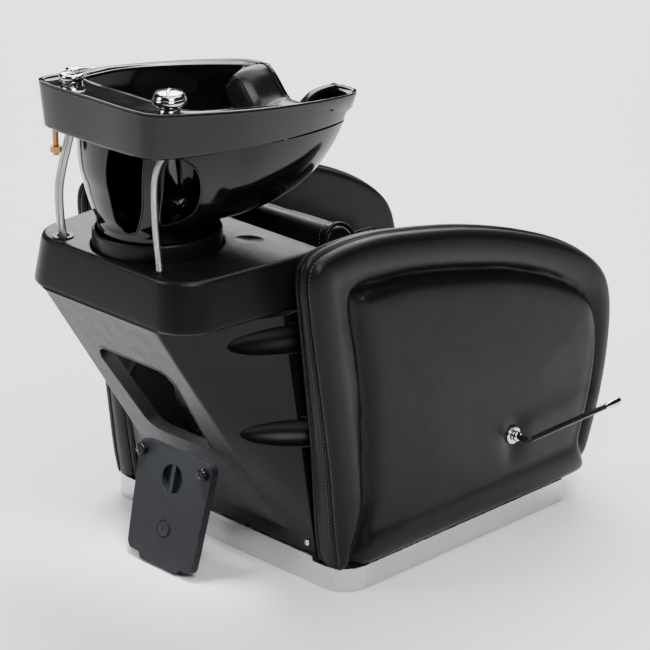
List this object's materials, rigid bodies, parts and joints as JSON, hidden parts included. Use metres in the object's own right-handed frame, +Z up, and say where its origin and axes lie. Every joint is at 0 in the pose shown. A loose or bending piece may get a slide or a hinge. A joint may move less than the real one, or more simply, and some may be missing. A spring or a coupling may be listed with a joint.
{
  "type": "shampoo backwash unit",
  "caption": "Salon backwash unit: reclining seat between padded arms, moulded rear housing with a tilting gloss bowl, lever mixer, hand shower, leg rest and side lever.",
  "frame": {"origin": "centre of the base plate's underside, on the floor", "axes": "+X to the sitter's left, -Y to the front of the seat, +Y to the bowl, +Z up"},
  "size_m": [0.7848, 1.126, 1.0582],
  "materials": {
    "leather": "black grained upholstery, semi-matt",
    "housing_plastic": "fine moulded grain",
    "panel_plastic": "moulded grain, slightly bluish",
    "bowl_gloss": "polished black",
    "stainless": "bright satin",
    "chrome": "polished",
    "braid": "braided or coiled wire",
    "brass": "plain",
    "rubber": "matt",
    "board": "plain plywood",
    "black_steel": "gloss black",
    "drain_plastic": "plain"
  },
  "bodies": {
    "root": {"arm_left": "leather", "arm_right": "leather", "arm_pad_left": "leather", "arm_pad_right": "leather", "seat_cushion": "leather", "backrest_cushion": "leather", "housing": "housing_plastic", "window_trim": "housing_plastic", "deck_collar": "housing_plastic", "plinth_rear": "stainless", "plinth_front": "stainless", "plinth_left": "stainless", "plinth_right": "stainless", "tilt_pin": "stainless", "housing_screw_left": "chrome", "housing_screw_right": "chrome", "lever_plate": "chrome", "supply_hose_hot": "braid", "supply_hose_cold": "braid", "handset_hose": "braid", "valve_hot": "brass", "valve_cold": "brass", "supply_grommet": "rubber", "handset_grommet": "rubber", "hose_weight": "rubber", "seat_board": "board", "backrest_board": "board", "base_plate": "black_steel", "seat_rail_front": "black_steel", "seat_rail_rear": "black_steel", "drain_hose": "drain_plastic", "drain_socket": "drain_plastic"},
    "bowl": {"bowl_basin": "bowl_gloss", "bowl_pedestal": "bowl_gloss", "neck_rest": "rubber", "waste_flange": "chrome", "waste_tailpipe": "chrome", "waste_nut": "drain_plastic", "mixer_body": "chrome", "mixer_nut": "brass", "mixer_stub": "brass", "stub_nut": "brass", "handset_holder": "chrome"},
    "strainer": {"waste_strainer": "chrome"},
    "mixer_head": {"mixer_cap": "chrome"},
    "mixer_handle": {"mixer_lever": "chrome"},
    "handset_body": {"handset": "chrome"},
    "cover": {"access_panel": "panel_plastic", "panel_lock": "panel_plastic"},
    "knob_right": {"panel_knob_right": "rubber"},
    "knob_left": {"panel_knob_left": "rubber"},
    "side_lever": {"lever_hub": "chrome", "lever_rod": "black_steel", "lever_tip": "chrome"},
    "leg_rest": {"leg_rest_shaft": "stainless", "leg_rest_arm_left": "black_steel", "leg_rest_arm_right": "black_steel", "leg_rest_board": "board", "leg_rest_pad": "leather"}
  },
  "joints": [
    {"name": "bowl_tilt", "type": "hinge", "parent": "root", "child": "bowl", "pos_m": [0, 0.487, 0.725], "axis": [1, 0, 0], "range_deg": [-5, 5], "deforming": ["supply_hose_hot", "supply_hose_cold", "handset_hose", "drain_hose"]},
    {"name": "strainer_lift", "type": "slide", "parent": "bowl", "child": "strainer", "axis": [0, 0, 1], "range_m": [0, 0.05]},
    {"name": "mixer_swivel", "type": "hinge", "parent": "bowl", "child": "mixer_head", "pos_m": [0.095, 0.61, 1.0326], "axis": [0, 0, 1], "range_deg": [-45, 45]},
    {"name": "mixer_lift", "type": "hinge", "parent": "mixer_head", "child": "mixer_handle", "pos_m": [0.095, 0.61, 1.0521], "axis": [-1, 0, 0], "range_deg": [0, 20]},
    {"name": "handset_pull", "type": "slide", "parent": "bowl", "child": "handset_body", "axis": [0, 0, 1], "range_m": [0, 0.25], "deforming": ["handset_hose"]},
    {"name": "cover_tip", "type": "hinge", "parent": "root", "child": "cover", "pos_m": [0, 0.508, 0.00485], "axis": [-1, 0, 0], "range_deg": [0, 90]},
    {"name": "knob_right_turn", "type": "hinge", "parent": "cover", "child": "knob_right", "pos_m": [-0.092, 0.45405, 0.22123], "axis": [0, 0.9703, 0.2419], "continuous": true},
    {"name": "knob_left_turn", "type": "hinge", "parent": "cover", "child": "knob_left", "pos_m": [0.092, 0.45405, 0.22123], "axis": [0, 0.9703, 0.2419], "continuous": true},
    {"name": "leg_rest_swing", "type": "hinge", "parent": "root", "child": "leg_rest", "pos_m": [0, -0.4, 0.345], "axis": [-1, 0, 0], "range_deg": [0, 80]},
    {"name": "side_lever_turn", "type": "hinge", "parent": "root", "child": "side_lever", "pos_m": [-0.372, -0.155, 0.208], "axis": [-1, 0, 0], "range_deg": [0, 40]}
  ],
  "couplings": [
    {"joint": "side_lever_turn", "follows": "leg_rest_swing", "ratio": 0.5}
  ]
}
